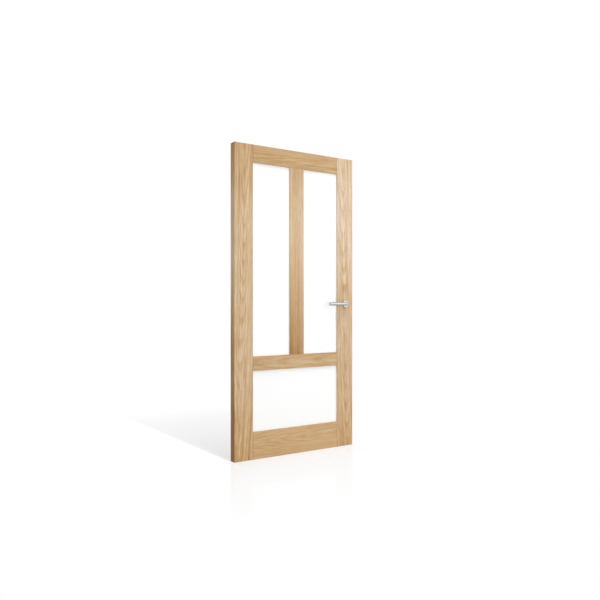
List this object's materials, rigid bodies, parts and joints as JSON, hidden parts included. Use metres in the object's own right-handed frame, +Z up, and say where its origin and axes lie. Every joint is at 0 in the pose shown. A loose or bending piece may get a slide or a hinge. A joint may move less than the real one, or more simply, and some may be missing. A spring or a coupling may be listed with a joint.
{
  "type": "interior door leaf",
  "caption": "Oak interior door leaf with two tall lights of satin glass over one wide light, a passage latch and a straight round lever on a round rose on each face.",
  "frame": {"origin": "on the hinge edge, at the foot of the leaf, in the middle of its thickness", "axes": "+X from the hinge edge to the lock edge, +Z up, and the front face with the lever in the picture towards -Y"},
  "size_m": [0.942, 0.156, 2.015],
  "materials": {
    "oak": "satin clear oil",
    "oak_bead": "satin clear oil",
    "glass": "white satin, etched",
    "seal": "matt",
    "satin_steel": "satin",
    "zinc_steel": "zinc plated"
  },
  "bodies": {
    "leaf": {"hinge_stile": "oak", "lock_stile": "oak", "muntin": "oak", "top_rail": "oak", "mid_rail": "oak", "bottom_rail": "oak", "upper_left_glass": "glass", "upper_right_glass": "glass", "lower_glass": "glass", "upper_left_front_seal": "seal", "upper_left_back_seal": "seal", "upper_right_front_seal": "seal", "upper_right_back_seal": "seal", "lower_front_seal": "seal", "lower_back_seal": "seal", "upper_left_bead_bottom": "oak_bead", "upper_left_bead_left": "oak_bead", "upper_left_bead_top": "oak_bead", "upper_left_bead_right": "oak_bead", "upper_right_bead_bottom": "oak_bead", "upper_right_bead_left": "oak_bead", "upper_right_bead_top": "oak_bead", "upper_right_bead_right": "oak_bead", "lower_bead_bottom": "oak_bead", "lower_bead_left": "oak_bead", "lower_bead_top": "oak_bead", "lower_bead_right": "oak_bead", "latch_case": "zinc_steel", "forend_plate": "satin_steel", "latch_bolt": "satin_steel", "front_rose": "satin_steel", "back_rose": "satin_steel"},
    "levers": {"front_lever": "satin_steel", "back_lever": "satin_steel", "spindle": "zinc_steel", "latch_follower": "zinc_steel"}
  },
  "joints": [
    {"name": "lever_turn", "type": "hinge", "parent": "leaf", "child": "levers", "pos_m": [0.865, 0, 0.996], "axis": [0, -1, 0], "range_deg": [0, 40], "stiffness_Nm_per_rad": 2.5, "springref_deg": -28.65}
  ]
}
